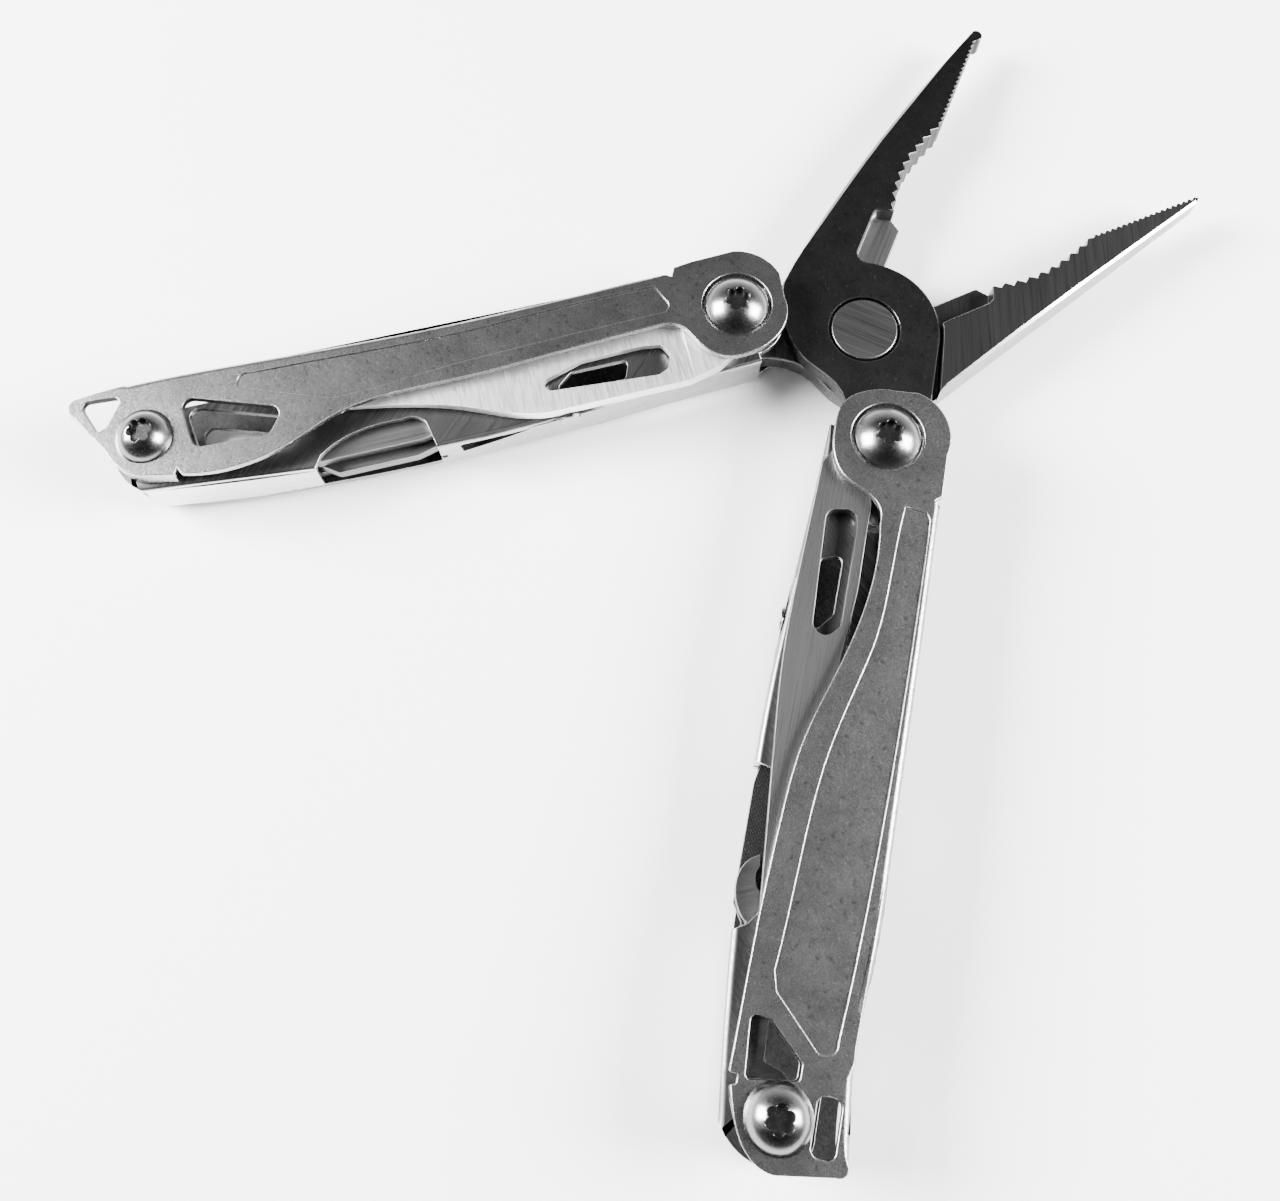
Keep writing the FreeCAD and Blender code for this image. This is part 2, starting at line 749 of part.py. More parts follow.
def screw_profile(base, dome, top):
    """Domed head that starts at base, with a plain shank down into the post."""
    shank = size("screw_radius")
    rise = top - size("front_plate_top")
    ball = (dome**2 + rise**2) / (2 * rise)
    half = math.asin(dome / ball) / 2
    middle = (ball * math.sin(half), top - ball * (1 - math.cos(half)))
    return (0.0, 3.0), [
        (shank, 3.0),
        (shank, base),
        (dome, base),
        (dome, size("front_plate_top")),
        (*middle, 0.0, top),
    ]


def torx_outline():
    """Six round lobes."""
    lobe = size("torx_radius")
    waist = lobe * 0.74
    corner = [math.radians(60 * i + 30) for i in range(6)]
    steps = []
    for i in range(6):
        out = math.radians(60 * i + 60)
        after = corner[(i + 1) % 6]
        tip = (lobe * math.cos(out), lobe * math.sin(out))
        steps.append((*tip, waist * math.cos(after), waist * math.sin(after)))
    return (waist * math.cos(corner[0]), waist * math.sin(corner[0])), steps


def place_on_pin(body, side, x):
    """Like place_on_handle, for a turned piece whose own axis stands at x along the handle."""
    place_on_handle(body, side)
    if x:
        if side == KNIFE:
            arm, turn = "(90 - sizes.half_open + sizes.arm_turn)", "sizes.knife_turn"
        else:
            arm, turn = "(90 + sizes.half_open - sizes.arm_turn)", "sizes.saw_turn"
        for axis, wave in (("x", "cos"), ("y", "sin")):
            along = f"sizes.arm_length * {wave}({arm}) + sizes.pin_spacing * {wave}({turn})"
            body.setExpression(f"Placement.Base.{axis}", f"{along} - sizes.origin_{axis}")


def fasteners(side):
    """A post and a domed screw at each end of the handle."""
    handle = "knife" if side == KNIFE else "saw"
    dish = size("front_plate_top") - size("dish_depth")
    for pin, x, base in (("pivot", 0, dish), ("tool", FAR, size("front_plate_top"))):
        body = turned(f"{handle}_{pin}_post", post_profile())
        place_on_pin(body, side, x)
        profile = screw_profile(base, size(f"{pin}_dome_radius"), size(f"{pin}_dome_top"))
        body = turned(f"{handle}_{pin}_screw", profile)
        cut(body, f"sizes.{pin}_dome_top", torx_outline(), "sizes.torx_depth")
        place_on_pin(body, side, x)


def ring_stack(label, levels, thickness, side, x):
    """Thin washers on one post, a solid each."""
    body = new_body(label)
    for level in levels:
        sketch = new_sketch(body, level)
        circle(sketch, 0, 0, "sizes.washer_radius")
        circle(sketch, 0, 0, "sizes.post_hole_radius")
        pad(body, sketch, thickness)
    place_on_pin(body, side, x)


def washers(side):
    handle = "knife" if side == KNIFE else "saw"
    above = "sizes.blade_low + sizes.blade_thick + 0.02"
    below = "sizes.blade_low - sizes.blade_washer_thick - 0.02"
    ring_stack(f"{handle}_blade_washers", [below, above], "sizes.blade_washer_thick", side, 0)
    low = [f"sizes.tool_low_{i} + sizes.tool_thick + 0.05" for i in (1, 2, 3)]
    ring_stack(f"{handle}_tool_washers", low, "sizes.tool_washer_thick", side, FAR)


# ---------------------------------------------------------------- blades


def knife_blade():
    """Clip-point blade, ground from near the spine down to the edge."""
    outline = (
        (0.0, -5.3),
        [
            (-5.3, 0.0, 0.0, 5.3),
            (6.3, 3.4),
            (7.4, 1.9, 9.2, 2.3),
            (44.0, 2.4),
            [(51.0, 1.9), (57.0, 0.7), (61.0, -0.7)],
            [(51.5, -2.1), (45.0, -3.5), (39.0, -5.4), (33.2, -7.8), (28.0, -8.9)],
            (8.8, -8.8),
            (4.4, -7.8),
        ],
    )
    holes = [(0, 0, "sizes.pivot_hole_radius")]
    body = plate("knife_blade", "sizes.blade_low", "sizes.blade_thick", outline, KNIFE, holes)
    upper = [(10.4, -4.3), (11.2, -2.6), (14.0, -2.2), (22.5, -2.4)]
    thumb = rounded([*upper, (28.6, -4.2), (27.6, -5.8), (12.6, -7.0), (11.1, -6.3)], 0.95)
    cut(body, None, thumb, side=KNIFE)
    grind(body, KNIFE, 8.0, -8.0, 2.6)
    place_on_handle(body, KNIFE)


def grind(body, side, plunge, spine, edge):
    """Two flat grinds that leave a thin edge, from the plunge line to the tip."""
    low = size("blade_low")
    high = low + size("blade_thick")
    leave = 0.15
    middle = (low + high) / 2
    for face, outside, near in ((high, high + 1, middle + leave), (low, low - 1, middle - leave)):
        sketch = new_sketch(body, str(plunge), role="YZ_Plane")
        steps = [(side * edge, near), (side * edge, outside), (side * spine, outside)]
        draw(sketch, (side * spine, face), steps)
        feature = pocket(body, sketch, "70", reverse=True)
        feature.Midplane = False


def saw_teeth():
    """Teeth along the palm side of the saw, from its tip back to its root."""
    points = []
    pitch = 1.9
    for i in range(17):
        x = 64.0 - pitch * i
        points.append((x, -0.5))
        points.append((x - pitch * 0.5, -1.8))
    return points


def saw_blade():
    outline = (
        (0.0, -5.2),
        [
            (-5.2, 0.0, 0.0, 5.2),
            (5.4, 2.6),
            (6.2, -0.2, 9.0, -0.6),
            [(16.0, -0.6), (22.0, -0.65), (27.0, -1.1), (31.5, -1.4)],
            *reversed(saw_teeth()),
            (65.4, -1.8),
            (66.2, -4.0, 63.8, -5.6),
            [(52.0, -6.6), (42.0, -7.5), (32.0, -8.25), (20.0, -8.2), (4.7, -7.7)],
        ],
    )
    holes = [(0, 0, "sizes.pivot_hole_radius")]
    body = plate("saw_blade", "sizes.blade_low", "sizes.blade_thick", outline, SAW, holes)
    thumb = rounded([(10.2, -2.3), (13.0, -1.9), (25.8, -1.9), (28.0, -3.8), (26.4, -5.4), (11.0, -6.1)], 1.4)
    cut(body, None, thumb, side=SAW)
    place_on_handle(body, SAW)


# ---------------------------------------------------------------- inner tools


def tool_outline(tip, low, high, root=72.0):
    """A tool from its hub to its tip: low and high are the reach of its shank, tip its end steps."""
    hub = size("tool_hub_radius")
    reach = hub * math.sin(math.radians(70))
    lean = hub * math.cos(math.radians(70))
    return (FAR - lean, reach), [
        (FAR + hub, 0.0, FAR - lean, -reach),
        (root + 2.5, -5.8),
        (root - 9.5, low),
        *tip,
        (root, high),
        (FAR - hub - 0.6, -2.2),
        (FAR - hub, 0.0),
    ]


def inner_tool(label, side, level, outline):
    hole = [(FAR, 0, "sizes.pivot_hole_radius")]
    body = plate(label, f"sizes.tool_low_{level}", "sizes.tool_thick", outline, side, hole)
    place_on_handle(body, side)
    return body


def knife_side_tools():
    cross = [(36.0, -7.2), (33.0, -6.6), (29.5, -5.7), (29.0, -5.3), (29.5, -4.9), (33.0, -4.0), (36.0, -3.4)]
    inner_tool("phillips_driver", KNIFE, 1, tool_outline(cross, -7.2, -3.4))
    flat = [(60.2, -7.1), (58.0, -8.6), (47.0, -8.6), (43.0, -7.6), (30.0, -6.8), (28.0, -6.8)]
    flat += [(28.0, -3.4), (30.0, -3.4), (38.0, -3.0)]
    inner_tool("medium_flat_driver", KNIFE, 2, tool_outline(flat, -7.1, -3.0))
    small = [(46.0, -7.2), (42.0, -6.4), (32.0, -6.4), (32.0, -4.2), (42.0, -4.2), (46.0, -3.4)]
    inner_tool("small_flat_driver", KNIFE, 3, tool_outline(small, -7.2, -3.4))


def saw_side_tools():
    hook = [
        [(59.6, -8.8), (56.4, -8.5), (54.6, -6.6)],
        (56.0, -6.4),
        (58.8, -5.9, 59.2, -4.4),
        (57.0, -3.2),
        (52.0, -3.0),
        (50.8, -2.2, 52.0, -1.4),
        (62.0, -1.4),
    ]
    inner_tool("can_opener", SAW, 3, tool_outline(hook, -7.0, -2.4))
    file_tip = [(60.5, -8.7), (46.0, -8.8), (42.0, -8.0), (30.0, -7.6)]
    file_tip += [(28.4, -7.0, 28.0, -5.6), (28.4, -3.6, 30.0, -3.0)]
    inner_tool("wood_metal_file", SAW, 2, tool_outline(file_tip, -7.4, -2.6))
    small = [(46.0, -7.2), (42.0, -6.6), (31.0, -6.6), (31.0, -4.0), (42.0, -4.0), (46.0, -3.4)]
    inner_tool("bottle_opener_driver", SAW, 1, tool_outline(small, -7.2, -3.4))


# ---------------------------------------------------------------- build, test and write


def check(items):
    for item in doc.Objects:
        if "Invalid" in item.State or "Error" in item.State:
            raise RuntimeError(f"{item.Name} ({item.Label}) is {item.State}")
    for item in items:
        if item.Shape.isNull() or not item.Shape.isValid():
            raise RuntimeError(f"{item.Label} has no valid shape")


def main():
    front_jaw()
    rear_jaw()
    pivot_rivet()
    plier_spring()
    for side in (KNIFE, SAW):
        front_plate(side)
        back_plate(side)
        channel(side)
        fasteners(side)
        washers(side)
    knife_blade()
    saw_blade()
    knife_side_tools()
    saw_side_tools()
    doc.recompute()
    check(pieces)
    os.makedirs("parts", exist_ok=True)
    whole = FreeCAD.BoundBox()
    for item in pieces:
        item.Shape.exportStep(f"parts/{item.Label}.step")
        whole.add(item.Shape.BoundBox)
        print(item.Label, len(item.Shape.Solids), round(item.Shape.Volume, 1))
    print("box", whole)


main()
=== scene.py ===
"""Looks of the folding multi tool: worn steel materials, edge bevels, studio floor, light and camera."""

import json
import math

import bmesh
import bpy
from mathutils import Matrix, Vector

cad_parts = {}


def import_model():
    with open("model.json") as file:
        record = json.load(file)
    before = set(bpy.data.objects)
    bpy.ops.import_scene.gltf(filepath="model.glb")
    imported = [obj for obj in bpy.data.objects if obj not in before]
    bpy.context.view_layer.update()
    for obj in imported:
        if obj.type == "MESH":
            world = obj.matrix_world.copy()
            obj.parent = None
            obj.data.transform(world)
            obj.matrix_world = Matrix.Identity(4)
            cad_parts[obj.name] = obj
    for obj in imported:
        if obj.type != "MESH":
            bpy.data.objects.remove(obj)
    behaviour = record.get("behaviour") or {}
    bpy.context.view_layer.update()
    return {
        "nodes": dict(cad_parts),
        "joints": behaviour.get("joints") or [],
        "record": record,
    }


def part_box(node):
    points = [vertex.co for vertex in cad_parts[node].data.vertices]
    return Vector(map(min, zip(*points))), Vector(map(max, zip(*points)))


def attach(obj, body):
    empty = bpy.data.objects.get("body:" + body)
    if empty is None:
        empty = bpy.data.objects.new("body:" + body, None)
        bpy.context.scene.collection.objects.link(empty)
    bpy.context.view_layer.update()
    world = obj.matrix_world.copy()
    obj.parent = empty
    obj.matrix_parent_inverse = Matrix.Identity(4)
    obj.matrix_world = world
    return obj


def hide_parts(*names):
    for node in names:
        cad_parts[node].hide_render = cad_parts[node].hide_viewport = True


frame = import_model()

NODES = frame["nodes"]
BODY_OF = {node: body for body, members in frame["record"]["behaviour"]["bodies"].items() for node in members}
MM = 0.001
FRONT_JAW_ANGLE = 112.4  # degrees from +X to the front jaw's bite line
BEVEL_ANGLE = math.radians(35)  # an outward edge that turns more than this is rounded
SHARP_ANGLE = math.radians(32)  # and one that turns more than this stays sharp in the shading
MERGE_DISTANCE = 1e-6
FLAT_ANGLE = math.radians(0.4)


# ---------------------------------------------------------------- node helpers


def new_material(name, metallic, roughness):
    material = bpy.data.materials.new(name)
    material.use_nodes = True
    shader = material.node_tree.nodes["Principled BSDF"]
    shader.inputs["Metallic"].default_value = metallic
    shader.inputs["Roughness"].default_value = roughness
    return material, shader


def add(material, kind, **settings):
    """A new shader node with its properties set by name."""
    node = material.node_tree.nodes.new(kind)
    for key, value in settings.items():
        setattr(node, key, value)
    return node


def link(material, output, target):
    material.node_tree.links.new(output, target)


def coordinates(material, turn=0.0, stretch=(1, 1, 1)):
    """Object coordinates turned about Z, then stretched; the tool lies still in them."""
    source = add(material, "ShaderNodeTexCoord")
    turned = add(material, "ShaderNodeMapping")
    turned.inputs["Rotation"].default_value = (0, 0, -turn)
    scaled = add(material, "ShaderNodeMapping")
    scaled.inputs["Scale"].default_value = stretch
    link(material, source.outputs["Object"], turned.inputs["Vector"])
    link(material, turned.outputs["Vector"], scaled.inputs["Vector"])
    return scaled.outputs["Vector"]


def noise(material, vector, scale, detail=4.0, roughness=0.55):
    node = add(material, "ShaderNodeTexNoise")
    node.inputs["Scale"].default_value = scale
    node.inputs["Detail"].default_value = detail
    node.inputs["Roughness"].default_value = roughness
    link(material, vector, node.inputs["Vector"])
    return node.outputs["Fac"]


def ramp(material, value, stops):
    """Stops are (place, grey)."""
    node = add(material, "ShaderNodeValToRGB")
    band = node.color_ramp
    while len(band.elements) < len(stops):
        band.elements.new(0.5)
    for element, (place, grey) in zip(band.elements, stops):
        element.position = place
        element.color = (grey, grey, grey, 1)
    link(material, value, node.inputs["Fac"])
    return node.outputs["Color"]


def maths(material, operation, first, second):
    node = add(material, "ShaderNodeMath", operation=operation)
    for socket, value in zip(node.inputs, (first, second)):
        if isinstance(value, (int, float)):
            socket.default_value = value
        else:
            link(material, value, socket)
    return node.outputs["Value"]


def blend(material, factor, first, second, how="MIX"):
    node = add(material, "ShaderNodeMix", data_type="RGBA", blend_type=how)
    for socket, value in ((node.inputs["Factor"], factor), (node.inputs[6], first), (node.inputs[7], second)):
        if isinstance(value, (int, float)):
            socket.default_value = value
        elif isinstance(value, tuple):
            socket.default_value = (*value, 1)
        else:
            link(material, value, socket)
    return node.outputs[2]


def edge_mask(material, radius):
    """White on outer edges and corners, from how far a rounded normal leans away from the flat one."""
    rounded = add(material, "ShaderNodeBevel", samples=6)
    rounded.inputs["Radius"].default_value = radius
    flat = add(material, "ShaderNodeNewGeometry")
    lean = add(material, "ShaderNodeVectorMath", operation="DOT_PRODUCT")
    link(material, rounded.outputs["Normal"], lean.inputs[0])
    link(material, flat.outputs["Normal"], lean.inputs[1])
    return ramp(material, maths(material, "SUBTRACT", 1.0, lean.outputs["Value"]), [(0.01, 0.0), (0.2, 0.8)])


def bump(material, shader, height, strength, distance):
    node = add(material, "ShaderNodeBump")
    node.inputs["Strength"].default_value = strength
    node.inputs["Distance"].default_value = distance
    link(material, height, node.inputs["Height"])
    link(material, node.outputs["Normal"], shader.inputs["Normal"])


# ---------------------------------------------------------------- materials


def worn_steel(name, dark, light, roughness, wear_and_edge_highlight=0.8, speckle=0.4, relief=0.5):
    """Stonewashed sheet steel: faint clouds, fine speckle, tumbled nicks, and outer edges lightened partly as
    rubbed wear and partly as a painted edge highlight.
    """
    material, shader = new_material(name, 1.0, roughness)
    place = coordinates(material)
    cloud = noise(material, place, 210.0, 8.0, 0.7)
    speck = noise(material, place, 2600.0, 6.0, 0.9)
    pits = noise(material, place, 1200.0, 3.0, 0.7)
    nick = noise(material, coordinates(material, 0.6, (1.0, 0.3, 1.0)), 4400.0, 2.0)
    base = ramp(material, cloud, [(0.36, dark), (0.66, light)])
    grain = ramp(material, speck, [(0.44, 1 - speckle), (0.56, 1.0)])
    base = blend(material, 1.0, base, grain, "MULTIPLY")
    base = blend(material, 1.0, base, ramp(material, pits, [(0.3, 1 - speckle), (0.42, 1.0)]), "MULTIPLY")
    bright = ramp(material, nick, [(0.66, 0.0), (0.76, 0.5)])
    base = blend(material, maths(material, "MULTIPLY", bright, wear_and_edge_highlight), base, (0.75, 0.75, 0.74))
    # Outer edges and corners lightened towards pale steel: partly rubbed wear, partly a painted edge
    # highlight.
    edge = maths(material, "MULTIPLY", edge_mask(material, 0.3 * MM), wear_and_edge_highlight)
    base = blend(material, edge, base, (0.85, 0.85, 0.84))
    link(material, base, shader.inputs["Base Color"])
    gloss = ramp(material, speck, [(0.3, roughness + 0.1), (0.7, roughness - 0.06)])
    link(material, gloss, shader.inputs["Roughness"])
    bump(material, shader, maths(material, "ADD", speck, pits), relief, 0.04 * MM)
    return material


def brushed_steel(name, tone, roughness, turn, fine=3400.0, depth=0.25, streaks=0.3):
    """Steel with fine parallel grinding lines that run at an angle to +X."""
    material, shader = new_material(name, 1.0, roughness)
    lines = noise(material, coordinates(material, turn, (0.02, 1.0, 1.0)), fine, 3.0, 0.6)
    smear = noise(material, coordinates(material, turn, (0.1, 1.0, 1.0)), 300.0, 3.0)
    base = ramp(material, lines, [(0.35, tone * (1 - streaks)), (0.65, tone)])
    cloud = ramp(material, smear, [(0.3, 0.85), (0.7, 1.0)])
    base = blend(material, 1.0, base, cloud, "MULTIPLY")
    # Outer edges and corners lightened towards pale steel: partly rubbed wear, partly a painted edge
    # highlight.
    edge = maths(material, "MULTIPLY", edge_mask(material, 0.2 * MM), 0.6)
    base = blend(material, edge, base, (0.88, 0.88, 0.87))
    link(material, base, shader.inputs["Base Color"])
    gloss = ramp(material, lines, [(0.3, roughness + 0.1), (0.7, roughness - 0.05)])
    link(material, gloss, shader.inputs["Roughness"])
    bump(material, shader, lines, depth, 0.02 * MM)
    return material


def file_steel(name, tone, turn):
    """Dark steel cut with two crossing sets of file teeth."""
    material, shader = new_material(name, 1.0, 0.38)
    rows = []
    for lean, period in ((40, 1500.0), (-55, 1900.0)):
        cuts = add(material, "ShaderNodeTexWave", wave_profile="SAW", bands_direction="X")
        cuts.inputs["Scale"].default_value = period / 2
        link(material, coordinates(material, turn + math.radians(lean)), cuts.inputs["Vector"])
        rows.append(cuts.outputs["Fac"])
    height = maths(material, "MULTIPLY", *rows)
    link(material, ramp(material, height, [(0.1, tone * 0.3), (0.8, tone)]), shader.inputs["Base Color"])
    bump(material, shader, height, 0.7, 0.12 * MM)
    return material


# ---------------------------------------------------------------- places on the tool


def middle(node):
    return sum(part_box(node), Vector()) / 2


class Lay:
    """A flat lay-out frame on the tool: x runs along a handle or a jaw, n across it."""

    def __init__(self, start, along, side):
        self.start = Vector((start.x, start.y, 0))
        self.along = Vector((along.x, along.y, 0)).normalized()
        self.across = Vector((-self.along.y, self.along.x, 0)) * side
        self.turn = math.atan2(self.along.y, self.along.x)

    def read(self, point):
        """x and n of a point, in millimetres."""
        gap = Vector(point) - self.start
        return gap.dot(self.along) / MM, gap.dot(self.across) / MM


def handle_lay(handle, side):
    start = middle(handle + "_pivot_screw")
    return Lay(start, middle(handle + "_tool_screw") - start, side)


def jaw_lay(side):
    """A jaw's frame: x along its bite line, n positive towards its outer side."""
    pivot = next(joint for joint in frame["joints"] if joint["name"] == "plier_pivot")
    opening = abs(pivot["range_deg"][0])
    turn = math.radians(FRONT_JAW_ANGLE if side > 0 else FRONT_JAW_ANGLE - opening)
    return Lay(Vector(pivot["pos_m"]), Vector((math.cos(turn), math.sin(turn), 0)), side)


KNIFE = handle_lay("knife", -1)
SAW = handle_lay("saw", 1)
FRONT_JAW = jaw_lay(1)
REAR_JAW = jaw_lay(-1)
LAYS = {"knife": KNIFE, "saw": SAW}


# ---------------------------------------------------------------- bevelled copies of the CAD nodes


def applied(piece):
    """Apply the piece's modifiers and give back its new mesh."""
    bpy.context.view_layer.update()
    mesh = bpy.data.meshes.new_from_object(piece.evaluated_get(bpy.context.evaluated_depsgraph_get()))
    piece.modifiers.clear()
    piece.data = mesh
    return mesh


def bevelled(node, fine, broad=0.0, share=None, segments=3):
    """A copy of a CAD node's mesh with its outward edges rounded, finely or by a share of broad.

    share is asked with an edge's middle and with the sum of the normals beside it, and says 0 to 1.
    """
    net = bmesh.new()
    net.from_mesh(NODES[node].data)
    bmesh.ops.remove_doubles(net, verts=net.verts, dist=MERGE_DISTANCE)
    bmesh.ops.dissolve_limit(net, angle_limit=FLAT_ANGLE, verts=net.verts, edges=net.edges)
    weight = net.edges.layers.float.new("bevel_weight_edge")
    width = max(fine, broad)
    for edge in net.edges:
        if edge.is_manifold and edge.is_convex and edge.calc_face_angle() > BEVEL_ANGLE:
            centre = (edge.verts[0].co + edge.verts[1].co) / 2
            lean = edge.link_faces[0].normal + edge.link_faces[1].normal
            edge[weight] = max(fine / width, share(centre, lean) if share else 0.0)
    mesh = bpy.data.meshes.new(node + "_shape")
    net.to_mesh(mesh)
    net.free()
    piece = bpy.data.objects.new(node + "_shape", mesh)
    bpy.context.scene.collection.objects.link(piece)
    bevel = piece.modifiers.new("bevel", "BEVEL")
    bevel.width = width
    bevel.segments = segments
    bevel.limit_method = "WEIGHT"
    bevel.use_clamp_overlap = broad == 0
    result = applied(piece)
    result.shade_smooth()
    result.set_sharp_from_angle(angle=SHARP_ANGLE)
    normals = piece.modifiers.new("normals", "WEIGHTED_NORMAL")
    normals.keep_sharp = True
    normals.weight = 100
    applied(piece)
    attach(piece, BODY_OF[node])
    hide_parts(node)
    return piece


def dress(piece, material):
    piece.data.materials.clear()
    piece.data.materials.append(material)


# ---------------------------------------------------------------- dress every node

plate = worn_steel("plate_steel", 0.31, 0.45, 0.26, 0.9, 0.5)
rim = worn_steel("plate_rim_steel", 0.3, 0.4, 0.24, 0.6, 0.25, 0.2)
# Near-black painted shade, put on the walls of the front plates' far openings and on the back plates' inner
# faces, where little light reaches.
painted_shade = worn_steel("painted_shade_steel", 0.03, 0.05, 0.5, 0.1)
jaw_black = worn_steel("jaw_black", 0.05, 0.075, 0.3, 0.25, 0.3, 0.3)
jaw_grey = brushed_steel("jaw_grey", 0.13, 0.3, REAR_JAW.turn + math.radians(65), streaks=0.5)
jaw_ground = brushed_steel("jaw_ground_steel", 0.4, 0.3, REAR_JAW.turn, streaks=0.15)
cutter = brushed_steel("cutter_steel", 0.2, 0.4, FRONT_JAW.turn, streaks=0.15)
knife_liner = brushed_steel("knife_liner_steel", 0.16, 0.32, KNIFE.turn + math.radians(45), streaks=0.5)
saw_liner = brushed_steel("saw_liner_steel", 0.16, 0.32, SAW.turn + math.radians(45), streaks=0.5)
web = brushed_steel("web_steel", 0.8, 0.22, KNIFE.turn, streaks=0.15)
bar = brushed_steel("spring_bar_steel", 0.42, 0.25, KNIFE.turn, streaks=0.15)
bend = brushed_steel("bend_steel", 0.34, 0.28, KNIFE.turn, streaks=0.15)
blade = brushed_steel("blade_steel", 0.98, 0.42, KNIFE.turn + math.radians(90), 4200.0, streaks=0.12)
saw = brushed_steel("saw_steel", 0.46, 0.3, SAW.turn, 5200.0, 0.4, 0.65)
tool = brushed_steel("tool_steel", 0.2, 0.34, KNIFE.turn)
file_cut = file_steel("file_steel", 0.16, SAW.turn)
screw = worn_steel("screw_steel", 0.2, 0.25, 0.2, 0.2, 0.1, 0.15)
rivet = brushed_steel("rivet_steel", 0.22, 0.3, math.radians(20), streaks=0.35)
spring = brushed_steel("spring_steel", 0.5, 0.3, 0.0)
bronze = worn_steel("washer_bronze", 0.3, 0.4, 0.35, 0.2)

# millimetres along and across a handle to the middle of each far opening in the front plate, and its reach
HOLES = {"knife": ((70.5, -0.5, 8.0), (87.4, 5.0, 4.4)), "saw": ((75.5, -2.2, 5.4), (81.7, 5.2, 4.2))}

# millimetres across a handle beyond which the front plate's palm edge is rolled over
PALM_EDGE = {"knife": 6.3, "saw": 7.3}

MATERIALS = {
    "front_jaw": jaw_black,
    "rear_jaw": jaw_grey,
    "pivot_rivet": rivet,
    "plier_spring": spring,
    "knife_handle_channel": knife_liner,
    "saw_handle_channel": saw_liner,
    "knife_blade": blade,
    "saw_blade": saw,
    "wood_metal_file": file_cut,
}


def rolled_palm_edge(handle):
    """How wide the rounding is on the front plate's top edge along the palm side."""
    lay = LAYS[handle]
    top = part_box(handle + "_handle_front_plate")[1].z
    reach = PALM_EDGE[handle]

    def share(point, normal):
        x, n = lay.read(point)
        if n < reach or point.z < top - 0.05 * MM:
            return 0.0
        return max(0.0, min(1.0, (x - 9.5) / 3, (85 - x) / 3))

    return share


def rolled_web_edge(handle):
    """How wide the rounding is on the channel's outer corner, where the liner bends into the web."""
    lay = LAYS[handle]
    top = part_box(handle + "_handle_channel")[1].z

    def share(point, normal):
        x, n = lay.read(point)
        if n > -6.2 or point.z < top - 0.05 * MM or 43.0 < x < 64.5:
            return 0.0
        return max(0.0, min(1.0, x / 3, (84 - x) / 3))

    return share


def nose_bevel(lay):
    """How wide the bevel is on the outer top edge of a jaw's nose: it fades in and out along x."""

    def share(point, normal):
        x, _ = lay.read(point)
        if point.z < 6.5 * MM or normal.z < 0.5 or normal.dot(lay.across) < 0.6:
            return 0.0
        return max(0.0, min(1.0, (x - 6) / 12, (50 - x) / 14))

    return share


def repaint(piece, material, test):
    """Give a second material to the faces that test picks, from each face's middle and normal."""
    piece.data.materials.append(material)
    number = len(piece.data.materials) - 1
    for face in piece.data.polygons:
        if test(face.center, face.normal):
            face.material_index = number


def ground_side(lay):
    """True on a jaw's outer side and its bevel, from the shoulder to the tip."""

    def test(point, normal):
        x, _ = lay.read(point)
        return x > 2.5 and normal.dot(lay.across) > 0.35

    return test


def cutter_face(lay):
    """True in the notch over the wire cutter."""

    def test(point, normal):
        x, n = lay.read(point)
        return 10 < x < 20.5 and -1 < n < 6.5 and 4 * MM < point.z < 8.5 * MM

    return test


def hole_walls(handle):
    """True on the walls of a front plate's two far openings, which face their own middles; these walls get
    near-black painted shade.
    """
    lay = LAYS[handle]
    openings = HOLES[handle]

    def test(point, normal):
        x, n = lay.read(point)
        if abs(normal.z) > 0.3:
            return False
        for middle_x, middle_n, reach in openings:
            inward = lay.along * (middle_x - x) + lay.across * (middle_n - n)
            if inward.length < reach and normal.dot(inward) > 0:
                return True
        return False

    return test


def spring_bar(lay):
    """True on the upright face of the web beside the blade's root."""

    def test(point, normal):
        return abs(normal.z) < 0.25 and lay.read(point)[0] < 44

    return test


def side_wall(point, normal):
    return abs(normal.z) < 0.85


def upright(point, normal):
    return abs(normal.z) < 0.25


# The back plate's inner face, inside the handle, which gets near-black painted shade.
def inner_face(point, normal):
    return normal.z > 0.9 and point.z < 3 * MM


for node in NODES:
    handle = node.split("_")[0]
    if "washers" in node:
        dress(NODES[node], bronze)
    elif "screw" in node or "post" in node:
        dress(bevelled(node, 0.12 * MM), screw)
    elif node.endswith("front_plate"):
        piece = bevelled(node, 0.16 * MM, 0.85 * MM, rolled_palm_edge(handle), 4)
        dress(piece, plate)
        repaint(piece, rim, upright)
        # The far openings' walls are painted near-black as shade.
        repaint(piece, painted_shade, hole_walls(handle))
    elif node.endswith("back_plate"):
        piece = bevelled(node, 0.15 * MM)
        dress(piece, plate)
        # The back plate's inner face is painted near-black as shade.
        repaint(piece, painted_shade, inner_face)
    elif node.endswith("channel"):
        piece = bevelled(node, 0.1 * MM, 0.9 * MM, rolled_web_edge(handle), 4)
        dress(piece, MATERIALS[node])
        repaint(piece, bend, side_wall)
        repaint(piece, web, upright)
        if handle == "knife":
            repaint(piece, bar, spring_bar(KNIFE))
    elif node == "front_jaw":
        piece = bevelled(node, 0.12 * MM, 0.4 * MM, nose_bevel(FRONT_JAW), 1)
        dress(piece, jaw_black)
        repaint(piece, cutter, cutter_face(FRONT_JAW))
        repaint(piece, jaw_ground, ground_side(FRONT_JAW))
    elif node == "rear_jaw":
        piece = bevelled(node, 0.12 * MM, 0.5 * MM, nose_bevel(REAR_JAW), 1)
        dress(piece, jaw_grey)
        repaint(piece, jaw_ground, ground_side(REAR_JAW))
    elif node in MATERIALS:
        dress(bevelled(node, 0.06 * MM, segments=2), MATERIALS[node])
    else:
        dress(bevelled(node, 0.1 * MM, segments=2), tool)


# ---------------------------------------------------------------- floor, light and camera


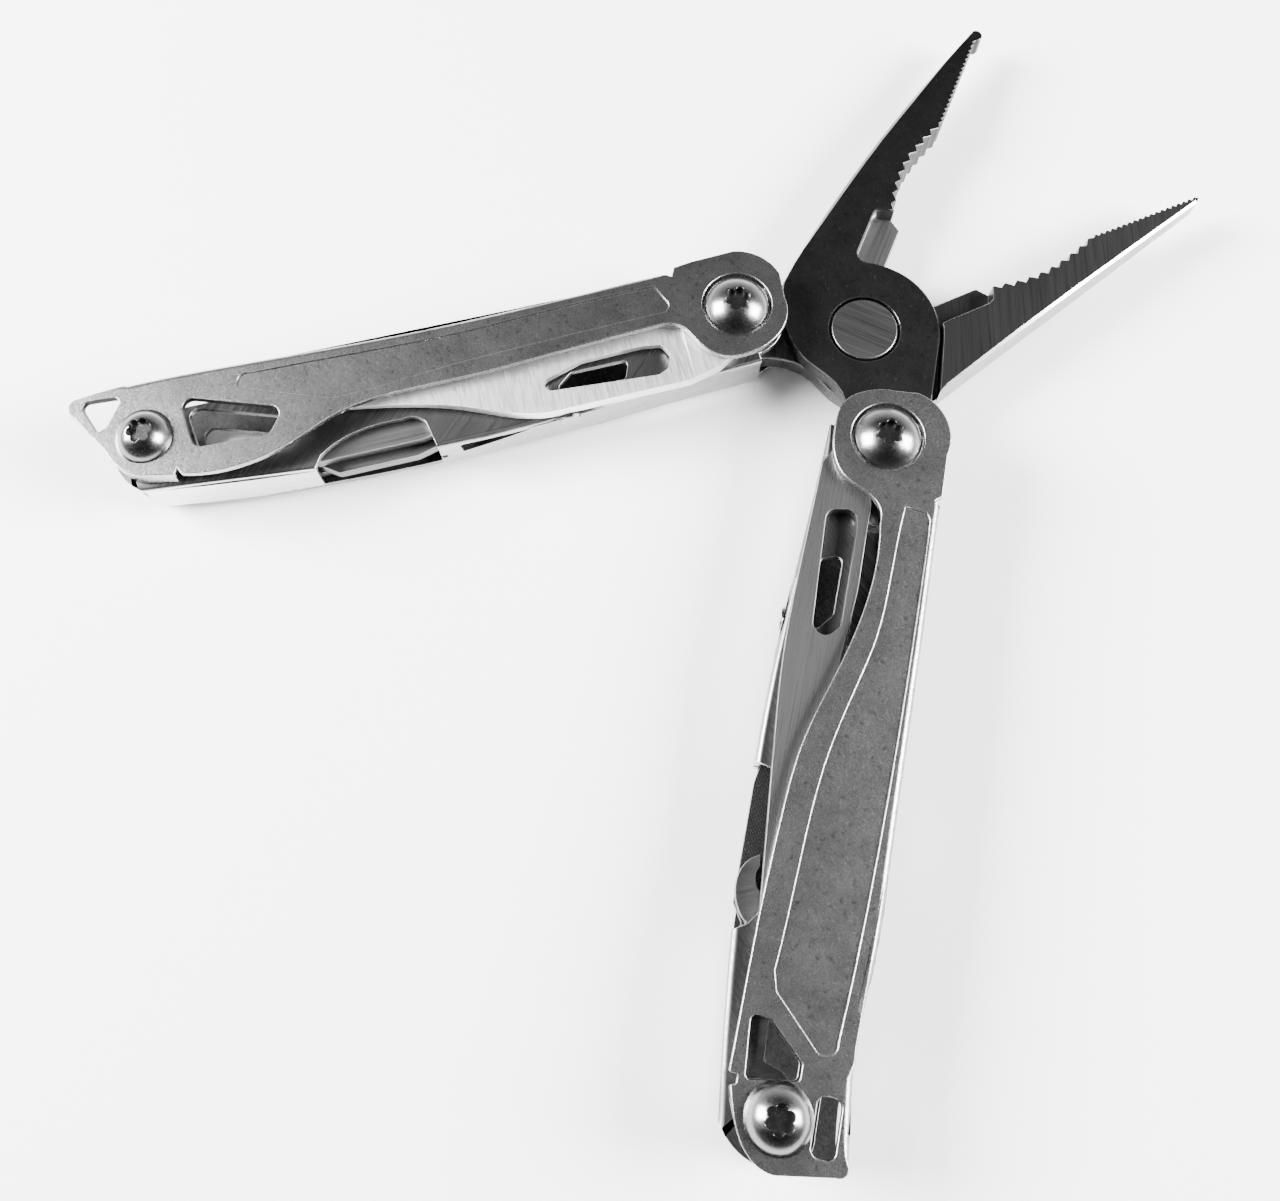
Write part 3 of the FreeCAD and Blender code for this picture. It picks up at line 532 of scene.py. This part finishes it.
def floor():
    mesh = bpy.data.meshes.new("floor")
    reach = 1.2
    corners = [(-reach, -reach, 0), (reach, -reach, 0), (reach, reach, 0), (-reach, reach, 0)]
    mesh.from_pydata(corners, [], [(0, 1, 2, 3)])
    ground = bpy.data.objects.new("floor", mesh)
    bpy.context.scene.collection.objects.link(ground)
    material, shader = new_material("floor_paper", 0.0, 0.9)
    shader.inputs["Base Color"].default_value = (0.93, 0.93, 0.93, 1)
    dress(ground, material)


def softbox(name, place, target, width, height, power):
    data = bpy.data.lights.new(name, "AREA")
    data.shape = "RECTANGLE"
    data.size = width
    data.size_y = height
    data.energy = power
    lamp = bpy.data.objects.new(name, data)
    bpy.context.scene.collection.objects.link(lamp)
    lamp.location = place
    lamp.rotation_euler = (Vector(target) - Vector(place)).to_track_quat("-Z", "Y").to_euler()


def sky_band(tree, direction, axis, stops):
    """Grey levels over the sky by how far a direction points along an axis, from -1 to 1 as 0 to 1."""
    lean = tree.nodes.new("ShaderNodeVectorMath")
    lean.operation = "DOT_PRODUCT"
    lean.inputs[1].default_value = axis
    span = tree.nodes.new("ShaderNodeMapRange")
    span.inputs["From Min"].default_value = -1.0
    band = tree.nodes.new("ShaderNodeValToRGB")
    for element, (place, level) in zip(band.color_ramp.elements, stops):
        element.position = place
        element.color = (level, level, level, 1)
    tree.links.new(direction, lean.inputs[0])
    tree.links.new(lean.outputs["Value"], span.inputs["Value"])
    tree.links.new(span.outputs["Result"], band.inputs["Fac"])
    return band.outputs["Color"]


def world(low_sky, high_sky, near_side):
    """A studio that is bright round the sides, darker overhead and darker on the viewer's side."""
    studio = bpy.data.worlds.new("studio")
    studio.use_nodes = True
    tree = studio.node_tree
    direction = tree.nodes.new("ShaderNodeTexCoord").outputs["Generated"]
    height = sky_band(tree, direction, (0, 0, 1), ((0.53, low_sky), (0.75, high_sky)))
    depth = sky_band(tree, direction, (-0.72, 0.69, 0), ((0.2, near_side), (0.7, 1.0)))
    both = tree.nodes.new("ShaderNodeMix")
    both.data_type = "RGBA"
    both.blend_type = "MULTIPLY"
    both.inputs["Factor"].default_value = 1.0
    tree.links.new(height, both.inputs[6])
    tree.links.new(depth, both.inputs[7])
    tree.links.new(both.outputs[2], tree.nodes["Background"].inputs["Color"])
    bpy.context.scene.world = studio


def camera():
    data = bpy.data.cameras.new("camera")
    data.sensor_width = 36.0
    data.lens = 40.47
    data.shift_x = 0.0523
    data.shift_y = -0.1603
    data.clip_start = 0.01
    body = bpy.data.objects.new("camera", data)
    bpy.context.scene.collection.objects.link(body)
    body.location = (0.0396, -0.06336, 0.19064)
    body.rotation_euler = [math.radians(angle) for angle in (22.706, 2.685, 46.323)]
    bpy.context.scene.camera = body


floor()
world(1.7, 0.1, 0.08)
softbox("left", (-0.387, -0.314, 0.356), (0, 0, 0), 0.3, 0.3, 26.0)
softbox("right", (0.383, 0.327, 0.356), (0, 0, 0), 0.3, 0.3, 22.0)
camera()
